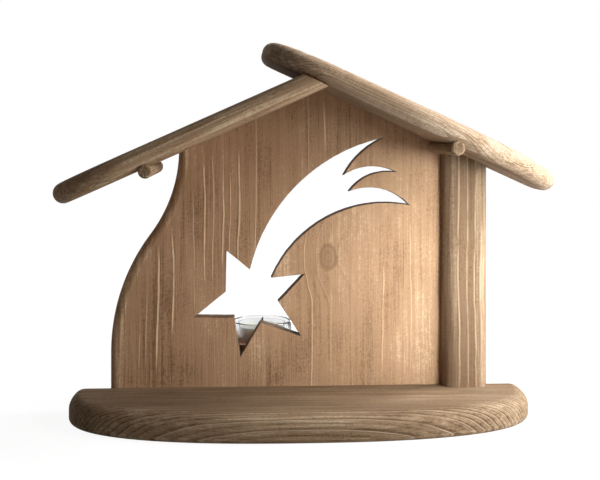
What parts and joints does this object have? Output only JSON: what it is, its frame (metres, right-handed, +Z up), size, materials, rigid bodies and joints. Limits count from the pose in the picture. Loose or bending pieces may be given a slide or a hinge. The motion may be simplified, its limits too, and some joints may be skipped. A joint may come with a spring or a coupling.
{
  "type": "wooden nativity stable",
  "caption": "Wooden nativity stable with a half-rounded base board, a wavy-edged back wall with a comet cut-out, a corner post, a pitched roof and a glass tea light on a shelf behind the comet",
  "frame": {"origin": "middle of the base board's footprint, on its underside, where the stable stands on the table", "axes": "+X to the right as seen from the open front, +Y to the back, towards the wall and the shelf, +Z up"},
  "size_m": [0.3726, 0.169, 0.2801],
  "materials": {
    "base_wood": "brushed softwood with a brown-grey stain, matte",
    "wall_wood": "brushed softwood with a brown-grey stain, matte",
    "roof_wood": "brushed softwood with a brown-grey stain, matte",
    "stick_wood": "stained round wood, matte",
    "pin_wood": "plain beech, matte",
    "screw_steel": "plated steel",
    "glass": "clear glass",
    "clear_cup": "clear plastic",
    "wax": "wax, satin",
    "wick": "burnt cotton",
    "foot_metal": "thin tinned sheet"
  },
  "bodies": {
    "stable": {"base_board": "base_wood", "back_wall": "wall_wood", "corner_post": "wall_wood", "roof_board_left": "roof_wood", "roof_board_right": "roof_wood", "roof_stick_left": "stick_wood", "roof_stick_right": "stick_wood", "base_screws": "screw_steel", "post_screws": "screw_steel", "post_foot_pin": "pin_wood", "roof_pins": "pin_wood", "shelf_pins": "pin_wood", "candle_shelf": "wall_wood"},
    "glass": {"candle_glass": "glass"},
    "tealight": {"tealight_cup": "clear_cup", "tealight_wax": "wax", "tealight_wick": "wick", "wick_foot": "foot_metal"}
  },
  "joints": [
    {"name": "glass_lift", "type": "slide", "parent": "stable", "child": "glass", "axis": [0, 0, 1], "range_m": [0, 0.04]},
    {"name": "tealight_lift", "type": "slide", "parent": "glass", "child": "tealight", "axis": [0, 0, 1], "range_m": [0, 0.03]}
  ]
}
